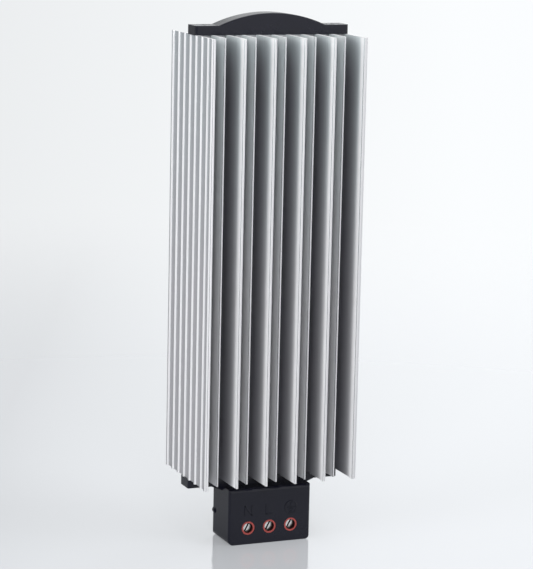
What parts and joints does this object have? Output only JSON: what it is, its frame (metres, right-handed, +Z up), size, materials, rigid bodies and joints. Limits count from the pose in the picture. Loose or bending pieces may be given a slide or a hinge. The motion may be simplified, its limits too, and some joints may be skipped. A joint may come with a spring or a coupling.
{
  "type": "enclosure heater",
  "caption": "Upright enclosure heater: finned aluminium extrusion with arched black end caps, a terminal housing with red-collared screw holes below and a rail clip on the back.",
  "frame": {"origin": "on the floor under the terminal housing, on the axis of the extrusion", "axes": "+Z up along the extrusion, -Y towards the front with the terminal screws, +X to the right seen from the front"},
  "size_m": [0.07, 0.0543, 0.2283],
  "materials": {
    "anodised_aluminium": "natural anodised extrusion with fine die lines",
    "black_plastic": "fine moulded texture",
    "red_plastic": "satin moulding",
    "zinc_steel": "bright zinc plate",
    "nickel_steel": "nickel plate",
    "spring_steel": "zinc plated sheet",
    "brass": "bare metal",
    "heating_ceramic": "sintered",
    "frame_plastic": "plain",
    "film": "polyimide film",
    "brown_lead": "silicone insulation",
    "blue_lead": "silicone insulation",
    "green_lead": "silicone insulation"
  },
  "bodies": {
    "root": {"heat_sink": "anodised_aluminium", "top_cap": "black_plastic", "bottom_cap": "black_plastic", "terminal_housing": "black_plastic", "rear_cover": "black_plastic", "top_cap_screws": "zinc_steel", "bottom_cap_screws": "zinc_steel", "housing_screws": "zinc_steel", "terminal_block": "red_plastic", "clamp_bodies": "brass", "clamp_screws": "nickel_steel", "heating_stones": "heating_ceramic", "stone_frame": "frame_plastic", "front_electrode": "brass", "rear_electrode": "brass", "insulating_sleeve": "film", "live_lead": "brown_lead", "neutral_lead": "blue_lead", "earth_lead": "green_lead", "earth_lug": "brass", "earth_screw": "nickel_steel", "rail_clip": "spring_steel", "clip_nut_bar": "zinc_steel", "clip_screws": "zinc_steel"}
  },
  "joints": []
}
